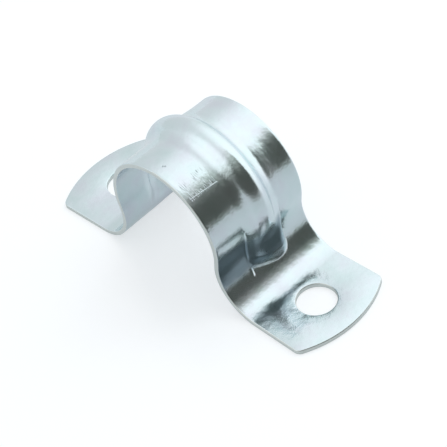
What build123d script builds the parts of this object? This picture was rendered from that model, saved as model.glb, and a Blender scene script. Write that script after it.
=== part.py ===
from build123d import *
from math import asin, atan, cos, degrees, radians, sin, sqrt
import os

# Two-hole conduit strap pressed from one blank of zinc-plated sheet steel.
# x runs from foot to foot, y along the conduit, z up; both feet stand on z = 0.
# The strap is the same on both sides of x = 0.

# Sheet and strip
sheet_t = 0.75          # thickness of the zinc-plated sheet
strip_w = 18.0          # width of the strip along the conduit
edge_roll_r = 0.18      # upper edge of the blank, rolled in by the shearing

# Arch round the conduit
bore_r = 10.15          # inner face of the arch, for a 20 mm conduit
axis_z = 11.3           # conduit axis above the wall
leg_flat = 1.0          # straight run between the arch and the foot bend
bend_r = 6.3            # upper face of the bend between leg and foot

# Fixing holes and feet
hole_d = 6.2            # each of the two holes
hole_gap = 0.8          # from the end of the bend to the hole
hole_roll_r = 0.25      # upper rim of a hole, rolled in by the punch
foot_margin = 4.3       # from the hole to the tip of the foot
foot_flare = 0.2        # how far a foot's end spreads past the strip on each side
foot_end_r = 17.1       # rounded end of a foot, seen from above
corner_r = 1.2          # corners of a foot

# Stiffening rib pressed outwards along the strip
rib_h = 1.75            # rise of the crest above the strip
rib_crest_r = 2.3       # outer face over the crest
rib_toe_r = 2.5         # outer face where the rib meets the strip
rib_y = 0.35            # the rib's middle lies a little towards one edge

# Sizes that follow
outer_r = bore_r + sheet_t
bend_z = bend_r + sheet_t
reach = outer_r + bend_r
lean = asin((axis_z - bend_z) / sqrt(reach**2 + leg_flat**2)) - atan(leg_flat / reach)
bend_x = (reach - sin(lean) * (axis_z - bend_z)) / cos(lean)
hole_x = bend_x + hole_gap + hole_d / 2
foot_tip_x = hole_x + hole_d / 2 + foot_margin
foot_end_w = strip_w + 2 * foot_flare
core_path_r = outer_r + rib_h - rib_crest_r
form_edge = 4           # how far the press tool reaches past the blank
close = 0.01            # distance at which a point counts as lying on a line


def arch_point(radius: float, angle: float) -> tuple[float, float]:
    """A point round the conduit axis, as x and z; the angle is in radians above the horizontal."""
    return radius * cos(angle), axis_z + radius * sin(angle)


def bend_point(angle: float) -> tuple[float, float]:
    """A point on the bend's upper face, as x and z; the angle is in radians below the horizontal."""
    return bend_x - bend_r * cos(angle), bend_z - bend_r * sin(angle)


def upper_profile() -> Curve:
    """The strip's upper face seen along the conduit: foot, bend, leg, arch, leg, bend and foot."""
    foot_end = (foot_tip_x + form_edge, sheet_t)
    leg_top = arch_point(outer_r, -lean)
    with BuildLine(Plane.XZ) as profile:
        ThreePointArc(arch_point(outer_r, radians(90)), arch_point(outer_r, radians(45)), leg_top)
        Line(leg_top, bend_point(-lean))
        ThreePointArc(bend_point(-lean), bend_point(radians(40)), bend_point(radians(90)))
        Line(bend_point(radians(90)), foot_end)
        mirror(about=Plane.YZ)
    return profile.line


def strip_form() -> Part:
    """The press tool before it has its rib: all that lies under the sheet's upper face."""
    far_x = foot_tip_x + form_edge
    with BuildPart() as form:
        with BuildSketch(Plane.XZ):
            with BuildLine():
                add(Plane.XZ.to_local_coords(upper_profile()))
                Polyline((far_x, sheet_t), (far_x, -form_edge), (-far_x, -form_edge), (-far_x, sheet_t))
            make_face()
        extrude(amount=foot_end_w / 2 + form_edge, both=True)
    return form.part


def rib_core() -> Part:
    """The rib's round core: bent over the arch and carried straight down both legs into the bends."""
    end_x, end_z = arch_point(core_path_r, -lean)
    down = Vector(-sin(lean), 0, -cos(lean))
    section = Plane(origin=(end_x, rib_y, end_z), x_dir=(0, 1, 0), z_dir=down) * Circle(rib_crest_r)
    leg = extrude(section, amount=end_z)
    over = revolve(section, axis=Axis((0, 0, axis_z), (0, -1, 0)), revolution_arc=180 + 2 * degrees(lean))
    return over + leg + mirror(leg, about=Plane.YZ)


def rib_seam(form: Part) -> list[Edge]:
    """The edges along which the rib's core comes out of the strip, without those that cross the rib."""
    seam = []
    for edge in form.edges():
        box = edge.bounding_box()
        within = abs(box.center().Y - rib_y) + box.size.Y / 2 < rib_crest_r
        across = edge.geom_type == GeomType.CIRCLE and box.size.Y > rib_crest_r / 2
        if within and not across:
            seam.append(edge)
    return seam


def pressed_sheet() -> Part:
    """Sheet of even thickness over the ribbed form, left open where the blank will be cut off."""
    ribbed = strip_form() + rib_core()
    form = fillet(rib_seam(ribbed), rib_toe_r)
    sides = form.faces().filter_by(Axis.Y) + form.faces().filter_by(Axis.X)
    return offset(form, amount=-sheet_t, openings=sides + form.faces().sort_by(Axis.Z)[:1])


def blank_outline() -> Sketch:
    """The blank seen from above: straight strip, feet that spread a little and end in an arc."""
    corner_x = foot_tip_x - foot_end_r + sqrt(foot_end_r**2 - (foot_end_w / 2) ** 2)
    with BuildSketch() as outline:
        with BuildLine():
            Polyline((0, strip_w / 2), (bend_x, strip_w / 2), (corner_x, foot_end_w / 2))
            RadiusArc((corner_x, foot_end_w / 2), (foot_tip_x, 0), foot_end_r)
            mirror(about=Plane.XZ)
            mirror(about=Plane.YZ)
        make_face()
        corners = [v for v in outline.vertices() if abs(abs(v.X) - corner_x) < close]
        fillet(corners, corner_r)
    return outline.sketch


def sheared_edges(strip: Part, outline: Sketch) -> list[Edge]:
    """The edges round the blank on the strip's upper face."""
    profile, rim = upper_profile(), outline.wire()
    middles = [(edge, edge @ 0.5) for edge in strip.edges()]
    on_rim = [(edge, mid) for edge, mid in middles if rim.distance_to(Vertex(mid.X, mid.Y, 0)) < close]
    return [edge for edge, mid in on_rim if profile.distance_to(Vertex(mid.X, 0, mid.Z)) < close]


def conduit_strap() -> Part:
    """The finished pressing: sheared to its outline and punched, with rolled-in edges and rims."""
    outline = blank_outline()
    strip = pressed_sheet() & extrude(outline, amount=axis_z + outer_r + 2 * rib_h)
    strip = fillet(sheared_edges(strip, outline), edge_roll_r)
    punch = Pos(hole_x, 0, 0) * Cylinder(hole_d / 2, 4 * sheet_t)
    strap = strip - punch - mirror(punch, about=Plane.YZ)
    circles = strap.edges().filter_by(GeomType.CIRCLE).filter_by(Plane.XY)
    upper_rims = [rim for rim in circles if rim.is_closed and rim.center().Z > sheet_t / 2]
    return fillet(upper_rims, hole_roll_r)


os.makedirs("parts", exist_ok=True)
export_step(conduit_strap(), "parts/strap.step")
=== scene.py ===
import logging
from dataclasses import dataclass
from enum import Enum
from math import asin, atan, atan2, cos, pi, radians, sin, sqrt, tan

import bmesh
import bpy
from mathutils import Matrix, Vector


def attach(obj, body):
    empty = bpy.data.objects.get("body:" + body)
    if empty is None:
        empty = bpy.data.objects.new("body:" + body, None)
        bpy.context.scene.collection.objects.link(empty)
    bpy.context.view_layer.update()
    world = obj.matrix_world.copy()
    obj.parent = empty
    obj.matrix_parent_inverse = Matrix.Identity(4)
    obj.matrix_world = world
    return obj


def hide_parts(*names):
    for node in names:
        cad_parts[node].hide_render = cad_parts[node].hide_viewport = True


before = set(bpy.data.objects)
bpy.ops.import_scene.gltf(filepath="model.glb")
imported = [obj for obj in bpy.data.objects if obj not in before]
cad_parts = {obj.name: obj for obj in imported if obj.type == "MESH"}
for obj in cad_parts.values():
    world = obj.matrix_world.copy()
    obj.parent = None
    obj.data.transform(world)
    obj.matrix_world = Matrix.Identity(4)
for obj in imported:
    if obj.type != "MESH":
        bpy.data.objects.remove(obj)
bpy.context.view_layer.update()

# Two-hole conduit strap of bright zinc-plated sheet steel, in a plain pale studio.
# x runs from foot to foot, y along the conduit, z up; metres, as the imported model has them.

MM = 0.001
SNAP = 0.01 * MM        # points of one outline nearer than this are one point
WELD = 0.001 * MM       # the same for the two mirrored halves

log = logging.getLogger("conduit_strap")


def linear(hex_colour: str) -> tuple[float, float, float, float]:
    """Turns an sRGB hex colour into the linear colour that a shader works with.

    Args:
        hex_colour: six hex digits, red, green and blue.

    Returns:
        Linear red, green and blue, and an alpha of 1.
    """
    parts = [int(hex_colour[i:i + 2], 16) / 255 for i in (0, 2, 4)]
    red, green, blue = (p / 12.92 if p <= 0.04045 else ((p + 0.055) / 1.055) ** 2.4 for p in parts)
    return red, green, blue, 1.0


def add_node(tree: bpy.types.NodeTree, kind: str, inputs: dict | None = None,
             **settings: object) -> bpy.types.Node:
    """Adds one node with its settings and links.

    Args:
        tree: node tree of a material, the world or a lamp.
        kind: Blender's name for the kind of node.
        inputs: for an input's name or number, its value or the socket that feeds it.
        settings: the node's own settings, such as operation.

    Returns:
        The new node.
    """
    node = tree.nodes.new(kind)
    for name, value in settings.items():
        setattr(node, name, value)
    for key, value in (inputs or {}).items():
        if isinstance(value, bpy.types.NodeSocket):
            tree.links.new(value, node.inputs[key])
        else:
            node.inputs[key].default_value = value
    return node


def toward(azimuth: float, elevation: float) -> Vector:
    """Gives the direction from the strap to a place in the studio.

    Args:
        azimuth: degrees round the strap, 0 on the side of low y and 90 on the side of high x.
        elevation: degrees above the wall face.

    Returns:
        A direction of length 1.
    """
    a, e = radians(azimuth), radians(elevation)
    return Vector((sin(a) * cos(e), -cos(a) * cos(e), sin(e)))


def new_material(name: str) -> bpy.types.Material:
    """Makes an empty node material.

    Args:
        name: name of the material.

    Returns:
        The material, with nodes in use and none in its tree.
    """
    material = bpy.data.materials.new(name)
    material.use_nodes = True
    material.node_tree.nodes.clear()
    return material


def piece_from(maker: bmesh.types.BMesh, name: str, material: bpy.types.Material) -> bpy.types.Object:
    """Turns a finished bmesh into an object at the origin.

    Args:
        maker: the finished bmesh, which is freed here.
        name: name of the new object.
        material: its first material.

    Returns:
        The new object, linked into the scene.
    """
    mesh = bpy.data.meshes.new(name)
    maker.to_mesh(mesh)
    maker.free()
    mesh.materials.append(material)
    piece = bpy.data.objects.new(name, mesh)
    bpy.context.scene.collection.objects.link(piece)
    return piece


class Surface(Enum):
    """The two kinds of face that the plating lies on."""

    ROLLED = "rolled"
    SHEARED = "sheared"


@dataclass(frozen=True)
class Scuff:
    """A patch of fine strokes that a tool rubbed along the strip; places on the flat blank, in mm."""

    along: tuple[float, float] = (4.6, 7.3)
    across: tuple[float, float] = (-8.1, -3.3)
    soft: float = 0.5
    # Real strokes are a few hundredths of a mm wide; these are as wide as they need to show.
    stroke_mm: tuple[float, float] = (2.2, 0.24)
    stroke_detail: float = 1.0
    stroke_span: tuple[float, float] = (0.50, 0.66)
    break_mm: float = 1.4
    break_span: tuple[float, float] = (0.38, 0.58)
    # The raised line at the patch's end: where it would cross y = 0, how it slants, and its width.
    line_at: float = 7.85
    line_slant: float = 0.08
    line_w: float = 0.09
    specks: tuple[tuple[float, float], ...] = ((0.46, -7.25), (0.7, -7.05))
    speck_r: float = 0.22
    # Rubbed places are greyer and duller.
    colour: str = "6E7B80"
    share: float = 0.45
    roughness: float = 0.25
    relief_mm: float = 0.03


@dataclass(frozen=True)
class PaintedDarkReflection:
    """A painted dark reflection low on the right leg: a darker colour painted into the plate, which is also
    made rougher there; places on the flat blank, in mm.
    """

    along: tuple[float, float] = (18.6, 23.8)
    across: tuple[float, float] = (-10.0, 3.0)
    soft: float = 1.5
    uneven: float = 3.0
    # Darker blue-grey painted in to stand for a dark reflection.
    colour: str = "8296A3"
    share: float = 0.8
    roughness: float = 0.12


@dataclass(frozen=True)
class BrightZincPlate:
    """Electroplated zinc with a clear blue passivate, on cold-rolled steel sheet.

    The plate is thin and follows the rolled and pressed sheet, so the eye gets a soft mirror of the
    studio with a blue-white body colour, fine grain and faint green and lilac tints. On a sheared
    edge the plate lies on torn metal, so it is paler, duller and without tints.
    """

    surface: Surface = Surface.ROLLED
    body: str = "D3E1E6"
    green: str = "CDDFE2"
    lilac: str = "D3DCE4"
    tint_span: tuple[float, float] = (0.34, 0.66)
    roughness: float = 0.18
    roughness_span: tuple[float, float] = (-0.03, 0.04)
    sheared: str = "D3DAD8"
    sheared_roughness: float = 0.38
    # The passivate's tints change over a few mm, and the pressed sheet waves by hundredths of a mm.
    cloud_mm: float = 4.5
    cloud_detail: float = 3.0
    cloud_fineness: float = 0.55
    cloud_span: tuple[float, float] = (0.3, 0.7)
    wave_mm: float = 1.0
    wave_detail: float = 2.0
    wave_relief_mm: float = 0.03
    # The rolled grain is a few hundredths of a mm wide; it is drawn as coarse as it needs to show.
    grain_mm: tuple[float, float] = (0.3, 0.2)
    grain_detail: float = 2.0
    grain_relief_mm: float = 0.008
    streak_fineness: float = 0.6
    scuff: Scuff = Scuff()
    # Painted dark reflection on the right leg, where the plate is also rougher.
    painted_dark: PaintedDarkReflection = PaintedDarkReflection()

    def window(self, tree: bpy.types.NodeTree, value: bpy.types.NodeSocket, span: tuple[float, float],
               soft: float) -> bpy.types.NodeSocket:
        """Makes a mask that is 1 where a value lies within a span.

        Args:
            tree: the material's node tree.
            value: socket with the value, in metres.
            span: the span's ends in mm.
            soft: how far past the ends the mask fades out, in mm.

        Returns:
            The mask's socket.
        """
        middle, half = (span[0] + span[1]) / 2, (span[1] - span[0]) / 2
        offset = add_node(tree, "ShaderNodeMath", {0: value, 1: middle * MM}, operation="SUBTRACT").outputs[0]
        distance = add_node(tree, "ShaderNodeMath", {0: offset}, operation="ABSOLUTE").outputs[0]
        return add_node(tree, "ShaderNodeMapRange", {
            "Value": distance, "From Min": half * MM, "From Max": (half + soft) * MM,
            "To Min": 1.0, "To Max": 0.0}, interpolation_type="SMOOTHSTEP").outputs["Result"]

    def streaks(self, tree: bpy.types.NodeTree, blank: bpy.types.NodeSocket, size: tuple[float, float],
                detail: float) -> bpy.types.NodeSocket:
        """Makes noise that is drawn out along the strip.

        Args:
            tree: the material's node tree.
            blank: socket with the place on the flat blank, in metres.
            size: length and width of a streak in mm.
            detail: how many octaves of finer noise lie on top.

        Returns:
            The noise's socket.
        """
        stretched = add_node(tree, "ShaderNodeVectorMath", {
            0: blank, 1: (1 / (size[0] * MM), 1 / (size[1] * MM), 1.0)}, operation="MULTIPLY").outputs[0]
        return add_node(tree, "ShaderNodeTexNoise", {
            "Vector": stretched, "Scale": 1.0, "Detail": detail,
            "Roughness": self.streak_fineness}).outputs["Fac"]

    def marks(self, tree: bpy.types.NodeTree,
              blank: bpy.types.NodeSocket) -> tuple[bpy.types.NodeSocket, bpy.types.NodeSocket]:
        """Draws the scuffed patch on the crown and the thin line at its end.

        Args:
            tree: the material's node tree.
            blank: socket with the place on the flat blank, in metres.

        Returns:
            Two sockets: how deep the strokes are, and how much of the line there is.
        """
        scuff = self.scuff
        place = add_node(tree, "ShaderNodeSeparateXYZ", {0: blank}).outputs
        across = self.window(tree, place["Y"], scuff.across, scuff.soft / 2)
        along = self.window(tree, place["X"], scuff.along, scuff.soft)
        patch = add_node(tree, "ShaderNodeMath", {0: along, 1: across}, operation="MULTIPLY").outputs[0]
        noise = self.streaks(tree, blank, scuff.stroke_mm, scuff.stroke_detail)
        strokes = add_node(tree, "ShaderNodeMapRange", {
            "Value": noise, "From Min": scuff.stroke_span[0], "From Max": scuff.stroke_span[1]},
            interpolation_type="SMOOTHSTEP").outputs["Result"]
        blotches = add_node(tree, "ShaderNodeTexNoise", {
            "Vector": blank, "Scale": 1 / (scuff.break_mm * MM)}).outputs["Fac"]
        broken = add_node(tree, "ShaderNodeMapRange", {
            "Value": blotches, "From Min": scuff.break_span[0], "From Max": scuff.break_span[1]},
            interpolation_type="SMOOTHSTEP").outputs["Result"]
        worn = add_node(tree, "ShaderNodeMath", {0: patch, 1: broken}, operation="MULTIPLY").outputs[0]
        depth = add_node(tree, "ShaderNodeMath", {0: strokes, 1: worn}, operation="MULTIPLY").outputs[0]
        slanted = add_node(tree, "ShaderNodeMath", {0: place["Y"], 1: -scuff.line_slant, 2: place["X"]},
                           operation="MULTIPLY_ADD").outputs[0]
        line = self.window(tree, slanted, (scuff.line_at, scuff.line_at + scuff.line_w), scuff.line_w)
        ridge = add_node(tree, "ShaderNodeMath", {0: line, 1: across}, operation="MULTIPLY").outputs[0]
        for spot in scuff.specks:
            gap = add_node(tree, "ShaderNodeVectorMath", {0: blank, 1: (spot[0] * MM, spot[1] * MM, 0.0)},
                           operation="DISTANCE").outputs["Value"]
            speck = add_node(tree, "ShaderNodeMapRange", {
                "Value": gap, "From Min": scuff.speck_r / 2 * MM, "From Max": scuff.speck_r * MM,
                "To Min": 1.0, "To Max": 0.0}).outputs["Result"]
            depth = add_node(tree, "ShaderNodeMath", {0: depth, 1: speck}, operation="MAXIMUM").outputs[0]
        return depth, ridge

    def painted_reflection_mask(self, tree: bpy.types.NodeTree, blank: bpy.types.NodeSocket,
               clouds: bpy.types.NodeSocket) -> bpy.types.NodeSocket:
        """Makes a mask for the part of the right leg where a dark reflection is painted into the plate's
        colour and the plate is made rougher.

        Args:
            tree: the material's node tree.
            blank: socket with the place on the flat blank, in metres.
            clouds: noise that makes the patch's outline uneven.

        Returns:
            The mask's socket.
        """
        painted_dark = self.painted_dark
        place = add_node(tree, "ShaderNodeSeparateXYZ", {0: blank}).outputs
        moved = add_node(tree, "ShaderNodeMath", {0: clouds, 1: painted_dark.uneven * MM, 2: place["X"]},
                         operation="MULTIPLY_ADD").outputs[0]
        span = tuple(end + painted_dark.uneven / 2 for end in painted_dark.along)
        along = self.window(tree, moved, span, painted_dark.soft)
        across = self.window(tree, place["Y"], painted_dark.across, painted_dark.soft / 2)
        return add_node(tree, "ShaderNodeMath", {0: along, 1: across}, operation="MULTIPLY").outputs[0]

    def tinted(self, tree: bpy.types.NodeTree, place: bpy.types.NodeSocket,
               blank: bpy.types.NodeSocket) -> tuple[bpy.types.NodeSocket, bpy.types.NodeSocket]:
        """Works out the plate's colour and roughness on the rolled faces, with its tints and the painted dark
        reflection on the right leg.

        Args:
            tree: the material's node tree.
            place: socket with the place on the strap, in metres.
            blank: socket with the place on the flat blank, in metres.

        Returns:
            The sockets of the colour and the roughness.
        """
        clouds = add_node(tree, "ShaderNodeTexNoise", {
            "Vector": place, "Scale": 1 / (self.cloud_mm * MM), "Detail": self.cloud_detail,
            "Roughness": self.cloud_fineness}).outputs["Fac"]
        tint = add_node(tree, "ShaderNodeValToRGB", {"Fac": clouds})
        first, last = tint.color_ramp.elements
        first.position, last.position = self.tint_span
        first.color, last.color = linear(self.green), linear(self.lilac)
        tint.color_ramp.elements.new(sum(self.tint_span) / 2).color = linear(self.body)
        low, high = self.roughness_span
        level = add_node(tree, "ShaderNodeMapRange", {
            "Value": clouds, "From Min": self.cloud_span[0], "From Max": self.cloud_span[1],
            "To Min": self.roughness + low, "To Max": self.roughness + high}).outputs["Result"]
        # Mask of the painted dark reflection; the plate is also made rougher there.
        painted_dark = self.painted_reflection_mask(tree, blank, clouds)
        level = add_node(tree, "ShaderNodeMath", {0: painted_dark, 1: self.painted_dark.roughness, 2: level},
                         operation="MULTIPLY_ADD").outputs[0]
        # Painted dark reflection: the darker colour is mixed into the plate over the mask.
        darker = add_node(tree, "ShaderNodeMath", {0: painted_dark, 1: self.painted_dark.share},
                          operation="MULTIPLY").outputs[0]
        plate = add_node(tree, "ShaderNodeMix", {
            0: darker, 6: tint.outputs["Color"], 7: linear(self.painted_dark.colour)}, data_type="RGBA").outputs[2]
        return plate, level

    def material(self) -> bpy.types.Material:
        """Builds the material from Object coordinates and the place on the flat blank.

        Returns:
            The plated metal's material.
        """
        material = new_material(f"bright_zinc_{self.surface.value}")
        tree, scuff = material.node_tree, self.scuff
        place = add_node(tree, "ShaderNodeTexCoord").outputs["Object"]
        blank = add_node(tree, "ShaderNodeUVMap", uv_map="strip").outputs["UV"]
        depth, ridge = self.marks(tree, blank)
        if self.surface is Surface.ROLLED:
            plate, level = self.tinted(tree, place, blank)
        else:
            plate, level = linear(self.sheared), self.sheared_roughness
        rubbed = add_node(tree, "ShaderNodeMath", {0: depth, 1: scuff.share}, operation="MULTIPLY").outputs[0]
        body = add_node(tree, "ShaderNodeMix", {0: rubbed, 6: plate, 7: linear(scuff.colour)},
                        data_type="RGBA").outputs[2]
        rough = add_node(tree, "ShaderNodeMath", {0: depth, 1: scuff.roughness, 2: level},
                         operation="MULTIPLY_ADD").outputs[0]
        waves = add_node(tree, "ShaderNodeTexNoise", {
            "Vector": place, "Scale": 1 / (self.wave_mm * MM), "Detail": self.wave_detail}).outputs["Fac"]
        grain = self.streaks(tree, blank, self.grain_mm, self.grain_detail)
        raised = add_node(tree, "ShaderNodeMath", {0: ridge, 1: depth}, operation="SUBTRACT").outputs[0]
        surface = {}
        for height, relief_mm in ((waves, self.wave_relief_mm), (grain, self.grain_relief_mm),
                                  (raised, scuff.relief_mm)):
            bump = add_node(tree, "ShaderNodeBump", surface | {
                "Height": height, "Strength": 1.0, "Distance": relief_mm * MM})
            surface = {"Normal": bump.outputs["Normal"]}
        shader = add_node(tree, "ShaderNodeBsdfPrincipled", surface | {
            "Base Color": body, "Metallic": 1.0, "Roughness": rough})
        add_node(tree, "ShaderNodeOutputMaterial", {"Surface": shader.outputs["BSDF"]})
        return material


def smooth_step(value: float, start: float, end: float) -> float:
    """Rises smoothly from 0 at start to 1 at end."""
    share = min(max((value - start) / (end - start), 0.0), 1.0)
    return share * share * (3 - 2 * share)


def round_step(distance: float, width: float, square: float, edge: float) -> float:
    """Rises from 0 at 0 to 1 at width; a high square flattens the top, a low edge steepens the foot."""
    share = 1 - min(max(distance / width, 0.0), 1.0)
    return (1 - share**square) ** edge


@dataclass
class Strap:
    """The strap as pressed: sheet, rib with its run-out, sheared rims and punched holes; sizes in mm."""

    node: str = "strap"
    # Sheet, arch, legs and bends
    sheet_t: float = 0.75
    strip_w: float = 18.0
    bore_r: float = 10.15
    axis_z: float = 11.3
    leg_flat: float = 1.0
    bend_r: float = 6.3
    # Feet and holes
    hole_d: float = 6.2
    hole_gap: float = 0.8
    foot_margin: float = 4.3
    foot_flare: float = 0.2
    foot_end_r: float = 17.1
    corner_r: float = 1.2
    edge_roll: float = 0.18
    # Rib
    rib_h: float = 1.75
    rib_crest_r: float = 2.3
    rib_toe_r: float = 2.5
    rib_y: float = 0.35
    # The rib's broad, flat end low on each leg; start, flat and reach count from the start of the bend
    nose_h: float = 1.3
    nose_sink: float = 0.8
    nose_sink_power: float = 1.8
    nose_half: float = 3.7
    nose_start: float = 6.0
    nose_flat: float = 1.0
    nose_reach: float = 6.4
    nose_lip: float = 2.4
    nose_front: float = 3.0
    nose_back: float = 1.6
    nose_square: float = 2.2
    nose_edge: float = 0.6
    nose_slant: float = 0.5
    nose_turn_front: float = 1.15
    nose_turn_back: float = 1.4
    nose_corner: float = 2.2
    # Fine crease along the front toe of that end; start and end count from the start of the bend,
    # and reach tells how many widths away the crease has died out
    crease_h: float = 0.12
    crease_w: float = 0.14
    crease_reach: float = 3.0
    crease_start: tuple[float, float] = (-3.0, 0.5)
    crease_end: float = 5.2
    crease_fade: float = 0.4
    crease_drift: float = 0.25
    crease_drift_from: float = 3.5
    # Flank that is drawn up behind the rib
    pull_h: float = 0.22
    pull_w: float = 1.9
    pull_at: float = 3.1
    pull_end: tuple[float, float] = (-8.0, -4.0)
    # Mesh: steps along the strip, gaps across it, and the zone whose inner face is evened out
    step: float = 0.2
    coarse_gap: float = 0.45
    fine_gap: float = 0.13
    fine_zone: tuple[float, float] = (-4.4, 5.1)
    side_steps: int = 15
    corner_steps: int = 6
    end_steps: int = 30
    hole_steps: int = 80
    inner_smooth: int = 30
    inner_half: float = 6.5
    inner_zone: tuple[float, float] = (8.5, 14.5)
    rim_segments: int = 3
    sharp_angle: float = 35.0
    face: BrightZincPlate = BrightZincPlate()
    rim: BrightZincPlate = BrightZincPlate(surface=Surface.SHEARED)

    def __post_init__(self) -> None:
        """Works out the sizes that follow from the others."""
        self.outer_r = self.bore_r + self.sheet_t
        self.bend_z = self.bend_r + self.sheet_t
        reach = self.outer_r + self.bend_r
        drop = self.axis_z - self.bend_z
        self.lean = asin(drop / sqrt(reach**2 + self.leg_flat**2)) - atan(self.leg_flat / reach)
        self.bend_x = (reach - sin(self.lean) * drop) / cos(self.lean)
        self.hole_x = self.bend_x + self.hole_gap + self.hole_d / 2
        self.tip_x = self.hole_x + self.hole_d / 2 + self.foot_margin
        self.arch_len = self.outer_r * (pi / 2 + self.lean)
        self.bend_len = self.bend_r * (pi / 2 + self.lean)

    def rib_section(self, across: float) -> float:
        """Gives the rib's height over the arch, from the circles of its crest and its toes.

        Args:
            across: distance from the rib's crest.

        Returns:
            The height in mm.
        """
        depth = self.rib_crest_r - self.rib_h
        centres = self.rib_crest_r + self.rib_toe_r
        toe = sqrt(centres**2 - (self.rib_toe_r + depth) ** 2)
        if abs(across) >= toe:
            return 0.0
        if abs(across) > toe * self.rib_crest_r / centres:
            return self.rib_toe_r - sqrt(self.rib_toe_r**2 - (toe - abs(across)) ** 2)
        return sqrt(self.rib_crest_r**2 - across**2) - depth

    def nose_length(self, across: float) -> float:
        """Gives how far into the bend the rib reaches: a slanted front and a tight corner behind.

        Args:
            across: distance from the rib's crest.

        Returns:
            The distance in mm.
        """
        front = max(self.nose_turn_front - across, 0.0)
        behind = max(across - self.nose_turn_back, 0.0) / (self.nose_half - self.nose_turn_back)
        slant = self.nose_slant * front**2 / (front + 1.0)
        return self.nose_reach - slant - self.nose_corner * (1 - sqrt(1 - min(behind, 1.0) ** 2))

    def rib_height(self, along: float, across: float) -> float:
        """Gives the rib's height above the plain strip.

        Args:
            along: distance from the crown over the outer face.
            across: distance from the rib's crest.

        Returns:
            The height in mm.
        """
        into_bend = along - self.arch_len - self.leg_flat
        room = self.nose_half - abs(across)
        if into_bend < -self.nose_start or room <= 0:
            return self.rib_section(across)
        flat = smooth_step(into_bend, -self.nose_start, self.nose_flat)
        top = self.nose_h - self.nose_sink * max(into_bend / self.nose_reach, 0.0) ** self.nose_sink_power
        end = smooth_step(self.nose_length(across) - into_bend, 0.0, self.nose_lip)
        side_w = self.nose_front if across < 0 else self.nose_back
        side = round_step(room, side_w, self.nose_square, self.nose_edge)
        return (1 - flat) * self.rib_section(across) + flat * side * top * end

    def crease_height(self, along: float, across: float) -> float:
        """Gives the height of the fine ridge that runs along the rib's front toe and past its corner.

        Args:
            along: distance from the crown over the outer face.
            across: distance from the rib's crest.

        Returns:
            The height in mm.
        """
        into_bend = along - self.arch_len - self.leg_flat
        drift = self.crease_drift * smooth_step(into_bend, self.crease_drift_from, self.crease_end)
        aside = (across + self.nose_half + drift) / self.crease_w
        if abs(aside) > self.crease_reach:
            return 0.0
        fade = smooth_step(into_bend, self.crease_end, self.crease_end + self.crease_fade)
        return self.crease_h * (smooth_step(into_bend, *self.crease_start) - fade) * 0.5 ** (aside**2)

    def pull_height(self, along: float, across: float) -> float:
        """Gives how far the flank behind the rib is drawn up beside the rib's toe.

        Args:
            along: distance from the crown over the outer face.
            across: distance from the rib's crest.

        Returns:
            The height in mm.
        """
        into_bend = along - self.arch_len - self.leg_flat
        aside = (across - self.pull_at) / self.pull_w
        return self.pull_h * 0.5 ** (aside**2) * (1 - smooth_step(into_bend, *self.pull_end))

    def place(self, along: float, y: float) -> Vector:
        """Bends a point of the flat blank to its place on the strap's outer face.

        Args:
            along: distance from the crown over the outer face.
            y: place along the conduit.

        Returns:
            The point, in metres.
        """
        across = y - self.rib_y
        rise = (self.rib_height(along, across) + self.crease_height(along, across)
                + self.pull_height(along, across))
        past_arch = along - self.arch_len
        if past_arch <= 0:
            angle = pi / 2 - along / self.outer_r
            radius = self.outer_r + rise
            return Vector((radius * cos(angle), y, self.axis_z + radius * sin(angle))) * MM
        turn = max(past_arch - self.leg_flat, 0.0) / self.bend_r - self.lean
        radius = self.bend_r - rise
        spot = Vector((self.bend_x - radius * cos(turn), y, self.bend_z - radius * sin(turn)))
        back = max(self.leg_flat - past_arch, 0.0)
        return (spot + Vector((sin(self.lean), 0, cos(self.lean))) * back) * MM

    def bent_strip(self, maker: bmesh.types.BMesh) -> None:
        """Bends a fine grid into half the arch, one leg and its bend.

        Args:
            maker: bmesh that gets the grid.
        """
        half = self.strip_w / 2
        first, last = self.fine_zone
        zones = ((-half, first, self.coarse_gap), (first, last, self.fine_gap), (last, half, self.coarse_gap))
        lines = []
        for start, end, gap in zones:
            count = round((end - start) / gap)
            lines += [start + (end - start) * i / count for i in range(count)]
        lines.append(half)
        length = self.arch_len + self.leg_flat + self.bend_len
        rows, columns = round(length / self.step), len(lines) - 1
        grid = bmesh.ops.create_grid(maker, x_segments=rows, y_segments=columns, size=0.5)
        for vertex in grid["verts"]:
            row, column = round((vertex.co.x + 0.5) * rows), round((vertex.co.y + 0.5) * columns)
            vertex.co = self.place(length * row / rows, lines[column])

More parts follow.
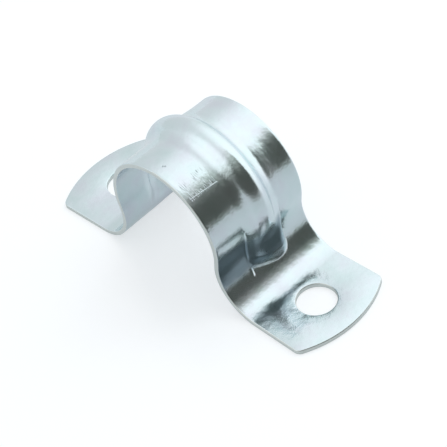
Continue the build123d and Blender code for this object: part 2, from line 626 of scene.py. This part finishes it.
    def foot(self, maker: bmesh.types.BMesh) -> None:
        """Lays the foot: a flat plate with its rounded end and its hole.

        Args:
            maker: bmesh that holds the bent strip.
        """
        end_w = self.strip_w / 2 + self.foot_flare
        centre_x = self.tip_x - self.foot_end_r
        sharp_x = centre_x + sqrt(self.foot_end_r**2 - end_w**2)
        flare = atan(self.foot_flare / (sharp_x - self.bend_x))
        corner_y = end_w - self.corner_r / cos(flare) - tan(flare) * self.corner_r
        corner_x = centre_x + sqrt((self.foot_end_r - self.corner_r) ** 2 - corner_y**2)
        swing = atan2(corner_y, corner_x - centre_x)
        quarter = pi / 2 + flare - swing
        run = corner_x - self.corner_r * sin(flare) - self.bend_x
        rise = corner_y + self.corner_r * cos(flare) - self.strip_w / 2
        centre = Vector((centre_x, 0, 0)) * MM
        corner = Vector((corner_x, corner_y, 0)) * MM
        moves = ((centre, 0.0, Vector((run, -rise, 0)) * MM, self.side_steps),
                 (Vector((corner.x, -corner.y, 0)), quarter, Vector(), self.corner_steps),
                 (centre, 2 * swing, Vector(), self.end_steps),
                 (corner, quarter, Vector(), self.corner_steps),
                 (centre, 0.0, Vector((-run, -rise, 0)) * MM, self.side_steps))
        start = Vector((self.bend_x, -self.strip_w / 2, self.sheet_t)) * MM
        pen = bmesh.ops.create_vert(maker, co=start)["vert"][0]
        for hub, angle, shift, steps in moves:
            done = bmesh.ops.spin(maker, geom=[pen], cent=hub, axis=(0, 0, 1), angle=angle,
                                  dvec=shift / steps, steps=steps, use_merge=False)
            pen = next(item for item in done["geom_last"] if isinstance(item, bmesh.types.BMVert))
        bmesh.ops.create_circle(maker, cap_ends=False, segments=self.hole_steps, radius=self.hole_d / 2 * MM,
                                matrix=Matrix.Translation(Vector((self.hole_x, 0, self.sheet_t)) * MM))
        bmesh.ops.remove_doubles(maker, verts=maker.verts, dist=SNAP)
        outline = [edge for edge in maker.edges if not edge.link_faces or (len(edge.link_faces) == 1 and all(
            abs(vertex.co.x - start.x) < 3 * SNAP for vertex in edge.verts))]
        plate = bmesh.ops.triangle_fill(maker, use_beauty=True, edges=outline, normal=(0, 0, 1))
        faces = [item for item in plate["geom"] if isinstance(item, bmesh.types.BMFace)]
        log.info("foot plate: %d faces from %d outline edges", len(faces), len(outline))

    def along_strip(self, spot: Vector) -> float:
        """Finds how far over the strip a point lies from the crown.

        Args:
            spot: a point of the strap, in metres.

        Returns:
            The distance in mm, below 0 on the side of low x.
        """
        x, z = abs(spot.x) / MM, spot.z / MM
        angle = atan2(z - self.axis_z, x)
        turn = atan2(self.bend_z - z, self.bend_x - x) + self.lean
        if angle >= -self.lean:
            along = (pi / 2 - angle) * self.outer_r
        elif x >= self.bend_x:
            along = self.arch_len + self.leg_flat + self.bend_len + x - self.bend_x
        else:
            along = self.arch_len + self.leg_flat + self.bend_r * (turn if turn > 0 else tan(turn))
        return along if spot.x >= 0 else -along

    def thicken(self, maker: bmesh.types.BMesh) -> None:
        """Gives the outer face its sheet thickness and rolls in the upper rims.

        Args:
            maker: bmesh that holds the whole outer face.
        """
        outer = set(maker.faces)
        bmesh.ops.solidify(maker, geom=list(outer), thickness=self.sheet_t * MM)
        outer_verts = {vertex for face in outer for vertex in face.verts}
        low, high = self.inner_zone
        inner = [vertex for vertex in maker.verts if vertex not in outer_verts
                 and abs(vertex.co.y) < self.inner_half * MM and low * MM < abs(vertex.co.x) < high * MM]
        for _ in range(self.inner_smooth):
            bmesh.ops.smooth_vert(maker, verts=inner, factor=0.5, use_axis_x=True, use_axis_y=True,
                                  use_axis_z=True)
        for face in maker.faces:
            shared = sum(vertex in outer_verts for vertex in face.verts)
            face.material_index = int(0 < shared < len(face.verts))
        rims = [edge for edge in maker.edges if sum(face in outer for face in edge.link_faces) == 1]
        bmesh.ops.bevel(maker, geom=rims, offset=self.edge_roll * MM, offset_type="OFFSET",
                        segments=self.rim_segments, profile=0.5, affect="EDGES", material=-1)

    def build(self) -> bpy.types.Object:
        """Builds the whole strap and gives it its finishes.

        Returns:
            The finished piece.
        """
        maker = bmesh.new()
        self.bent_strip(maker)
        self.foot(maker)
        half = maker.verts[:] + maker.edges[:] + maker.faces[:]
        bmesh.ops.mirror(maker, geom=half, axis="X", merge_dist=WELD)
        bmesh.ops.remove_doubles(maker, verts=maker.verts, dist=WELD)
        bmesh.ops.recalc_face_normals(maker, faces=maker.faces)
        top = max(maker.faces, key=lambda face: face.calc_center_median().z)
        if top.normal.z < 0:
            bmesh.ops.reverse_faces(maker, faces=maker.faces)
        self.thicken(maker)
        layer = maker.loops.layers.uv.new("strip")
        for face in maker.faces:
            for loop in face.loops:
                loop[layer].uv = (self.along_strip(loop.vert.co) * MM, loop.vert.co.y)
        piece = piece_from(maker, "strap_pressed", self.face.material())
        piece.data.materials.append(self.rim.material())
        piece.data.shade_smooth()
        piece.data.set_sharp_from_angle(angle=radians(self.sharp_angle))
        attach(piece, "root")
        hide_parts(self.node)
        return piece


@dataclass(frozen=True)
class PhotoCamera:
    """The camera at the photograph's angle; its sizes were fitted to the strap's edges."""

    azimuth: float = 53.031
    elevation: float = 44.72
    roll: float = -11.956
    distance_mm: float = 303.199
    lens_mm: float = 164.57
    sensor_mm: float = 36.0
    target_mm: tuple[float, float, float] = (4.271, -1.562, 8.0)
    clip: tuple[float, float] = (0.01, 10.0)

    def build(self) -> bpy.types.Object:
        """Makes the camera and gives it to the scene.

        Returns:
            The camera object.
        """
        back = toward(self.azimuth, self.elevation)
        level = Vector((cos(radians(self.azimuth)), sin(radians(self.azimuth)), 0))
        upright = back.cross(level)
        turn = radians(self.roll)
        right = cos(turn) * level + sin(turn) * upright
        up = cos(turn) * upright - sin(turn) * level
        data = bpy.data.cameras.new("photo_camera")
        data.lens = self.lens_mm
        data.sensor_width = self.sensor_mm
        data.clip_start, data.clip_end = self.clip
        camera = bpy.data.objects.new("photo_camera", data)
        camera.matrix_world = Matrix((right, up, back)).transposed().to_4x4()
        camera.location = Vector(self.target_mm) * MM + back * self.distance_mm * MM
        bpy.context.scene.collection.objects.link(camera)
        bpy.context.scene.camera = camera
        return camera


@dataclass(frozen=True)
class Glow:
    """One soft brighter or darker part of the light tent."""

    azimuth: float
    elevation: float
    spread: float
    level: float


@dataclass(frozen=True)
class LightTent:
    """A round tent of lit white cloth with a dark opening; only the metal's mirror shows it.

    The cloth glows evenly, so it gives the metal broad white reflections, and the opening on the side
    of low y gives the dark ones with soft edges. Angles are in degrees; each pair is an edge's two ends.
    """

    radius: float = 1.0
    segments: int = 72
    cloth: float = 1.0
    opening: float = 0.10
    opening_colour: str = "F7FAEE"
    opening_left: tuple[float, float] = (-20.0, 12.0)
    opening_right: tuple[float, float] = (127.0, 134.0)
    left_slant: float = 1.0
    right_slant: float = 0.2
    opening_top: tuple[float, float] = (35.0, 84.0)
    opening_foot: tuple[float, float] = (-14.0, 9.0)
    glows: tuple[Glow, ...] = (
        Glow(165.0, 38.0, 62.0, 0.36),
        Glow(354.0, 40.0, 42.0, 0.33),
        Glow(268.0, 10.0, 62.0, -0.18),
    )

    def tone(self, tree: bpy.types.NodeTree) -> tuple[bpy.types.NodeSocket, bpy.types.NodeSocket]:
        """Works out how bright the tent is at each place, and its colour there.

        Args:
            tree: node tree of the tent's cloth.

        Returns:
            The sockets that hold the brightness, where 1 is white, and the colour.
        """
        place = add_node(tree, "ShaderNodeTexCoord").outputs["Object"]
        unit = add_node(tree, "ShaderNodeVectorMath", {0: place}, operation="NORMALIZE").outputs[0]
        axes = add_node(tree, "ShaderNodeSeparateXYZ", {0: unit}).outputs
        level = self.cloth
        for glow in self.glows:
            cosine = add_node(tree, "ShaderNodeVectorMath", {
                0: unit, 1: toward(glow.azimuth, glow.elevation)}, operation="DOT_PRODUCT").outputs["Value"]
            soft = add_node(tree, "ShaderNodeMapRange", {
                "Value": cosine, "From Min": cos(radians(glow.spread)), "From Max": 1.0,
                "To Min": 0.0, "To Max": glow.level}, interpolation_type="SMOOTHSTEP").outputs["Result"]
            level = add_node(tree, "ShaderNodeMath", {0: level, 1: soft}, operation="ADD").outputs[0]
        back = add_node(tree, "ShaderNodeMath", {0: axes["Y"], 1: -1.0}, operation="MULTIPLY").outputs[0]
        azimuth = add_node(tree, "ShaderNodeMath", {0: axes["X"], 1: back}, operation="ARCTAN2").outputs[0]
        elevation = add_node(tree, "ShaderNodeMath", {0: axes["Z"]}, operation="ARCSINE").outputs[0]
        left, right = (add_node(tree, "ShaderNodeMath", {0: elevation, 1: -slant, 2: azimuth},
                                operation="MULTIPLY_ADD").outputs[0]
                       for slant in (self.left_slant, self.right_slant))
        edges = ((elevation, *self.opening_top, 1.0, 0.0), (elevation, *self.opening_foot, 0.0, 1.0),
                 (left, *self.opening_left, 0.0, 1.0), (right, *self.opening_right, 1.0, 0.0))
        inside = 1.0
        for angle, start, end, before, after in edges:
            step = add_node(tree, "ShaderNodeMapRange", {
                "Value": angle, "From Min": radians(start), "From Max": radians(end),
                "To Min": before, "To Max": after}, interpolation_type="SMOOTHSTEP").outputs["Result"]
            inside = add_node(tree, "ShaderNodeMath", {0: inside, 1: step}, operation="MULTIPLY").outputs[0]
        bright = add_node(tree, "ShaderNodeMix", {0: inside, 2: level, 3: self.opening},
                          data_type="FLOAT").outputs[0]
        colour = add_node(tree, "ShaderNodeMix", {
            0: inside, 6: linear("FFFFFF"), 7: linear(self.opening_colour)}, data_type="RGBA").outputs[2]
        return bright, colour

    def build(self) -> bpy.types.Object:
        """Makes the tent over the floor.

        Returns:
            The tent.
        """
        material = new_material("lit_white_cloth")
        tree = material.node_tree
        bright, colour = self.tone(tree)
        cloth = add_node(tree, "ShaderNodeEmission", {"Color": colour, "Strength": bright})
        add_node(tree, "ShaderNodeOutputMaterial", {"Surface": cloth.outputs[0]})
        material.cycles.emission_sampling = "NONE"
        maker = bmesh.new()
        bmesh.ops.create_uvsphere(maker, u_segments=self.segments, v_segments=self.segments // 2,
                                  radius=self.radius)
        ball = maker.verts[:] + maker.edges[:] + maker.faces[:]
        bmesh.ops.bisect_plane(maker, geom=ball, plane_co=(0, 0, 0), plane_no=(0, 0, 1), clear_inner=True)
        bmesh.ops.reverse_faces(maker, faces=maker.faces)
        tent = piece_from(maker, "light_tent", material)
        tent.visible_camera = False
        tent.visible_diffuse = False
        tent.visible_shadow = False
        return tent


@dataclass(frozen=True)
class SoftLamp:
    """A soft square lamp that looks at the strap and gives the floor its shadow.

    Angles are in degrees, and distance and size in metres. At level 1 the lamp's face is as bright as
    the white surround.
    """

    name: str = "key_lamp"
    azimuth: float = 172.0
    elevation: float = 50.0
    distance: float = 1.6
    size: float = 1.6
    level: float = 1.25

    def build(self) -> bpy.types.Object:
        """Hangs the lamp, which the metal doesn't mirror.

        Returns:
            The lamp.
        """
        data = bpy.data.lights.new(self.name, "AREA")
        data.shape = "SQUARE"
        data.size = self.size
        data.energy = self.level * pi * self.size**2
        lamp = bpy.data.objects.new(self.name, data)
        direction = toward(self.azimuth, self.elevation)
        lamp.location = direction * self.distance
        lamp.rotation_mode = "QUATERNION"
        lamp.rotation_quaternion = direction.to_track_quat("Z", "Y")
        lamp.visible_glossy = False
        bpy.context.scene.collection.objects.link(lamp)
        return lamp


@dataclass(frozen=True)
class Studio:
    """Pale floor, white surround, light tent and lamp."""

    floor_side: float = 6.0
    floor_colour: str = "BCC3C8"
    floor_roughness: float = 0.3
    floor_lift: float = 0.56
    mirror_lift: float = 0.32
    fill: float = 0.6
    tent: LightTent = LightTent()
    key: SoftLamp = SoftLamp()

    def surround(self) -> None:
        """Makes the world: white where it is seen, and a soft fill on what it lights."""
        world = bpy.data.worlds.new("white_surround")
        world.use_nodes = True
        tree = world.node_tree
        tree.nodes.clear()
        path = add_node(tree, "ShaderNodeLightPath").outputs
        mirror = add_node(tree, "ShaderNodeMath", {0: path["Is Glossy Ray"], 1: path["Is Transmission Ray"]},
                          operation="ADD").outputs[0]
        seen = add_node(tree, "ShaderNodeMath", {0: path["Is Camera Ray"], 1: mirror}, operation="ADD",
                        use_clamp=True).outputs[0]
        strength = add_node(tree, "ShaderNodeMapRange", {"Value": seen, "To Min": self.fill, "To Max": 1.0})
        sky = add_node(tree, "ShaderNodeBackground", {
            "Color": (1.0, 1.0, 1.0, 1.0), "Strength": strength.outputs["Result"]})
        add_node(tree, "ShaderNodeOutputWorld", {"Surface": sky.outputs["Background"]})
        bpy.context.scene.world = world

    def floor(self) -> bpy.types.Object:
        """Makes the pale floor that the feet stand on; it looks white and keeps the strap's shadow.

        It is satin laminate: an even pale grey with a faint sheen that is too weak to mirror the strap.

        Returns:
            The floor.
        """
        material = new_material("pale_laminate")
        tree = material.node_tree
        sheet = add_node(tree, "ShaderNodeBsdfPrincipled", {
            "Base Color": linear(self.floor_colour), "Roughness": self.floor_roughness})
        path = add_node(tree, "ShaderNodeLightPath").outputs
        mirror = add_node(tree, "ShaderNodeMath", {0: path["Is Glossy Ray"], 1: path["Is Transmission Ray"]},
                          operation="ADD").outputs[0]
        dim = add_node(tree, "ShaderNodeMath", {0: mirror, 1: self.mirror_lift},
                       operation="MULTIPLY").outputs[0]
        lift = add_node(tree, "ShaderNodeMath", {0: path["Is Camera Ray"], 1: self.floor_lift, 2: dim},
                        operation="MULTIPLY_ADD").outputs[0]
        white = add_node(tree, "ShaderNodeEmission", {"Color": (1.0, 1.0, 1.0, 1.0), "Strength": lift})
        both = add_node(tree, "ShaderNodeAddShader", {0: sheet.outputs[0], 1: white.outputs[0]})
        add_node(tree, "ShaderNodeOutputMaterial", {"Surface": both.outputs[0]})
        maker = bmesh.new()
        bmesh.ops.create_grid(maker, x_segments=4, y_segments=4, size=self.floor_side / 2)
        floor = piece_from(maker, "floor", material)
        return floor

    def build(self) -> None:
        """Sets up the surround, the floor, the tent and the lamp."""
        self.surround()
        self.floor()
        self.tent.build()
        self.key.build()


def main() -> None:
    """Builds the dressed strap and its studio, in order."""
    logging.basicConfig(level=logging.INFO, format="%(name)s: %(message)s")
    scene = bpy.context.scene
    scene.view_settings.view_transform = "Standard"
    PhotoCamera().build()
    strap = Strap().build()
    log.info("%s built: %d faces", strap.name, len(strap.data.polygons))
    Studio().build()
    log.info("studio built")


if __name__ == "__main__":
    main()
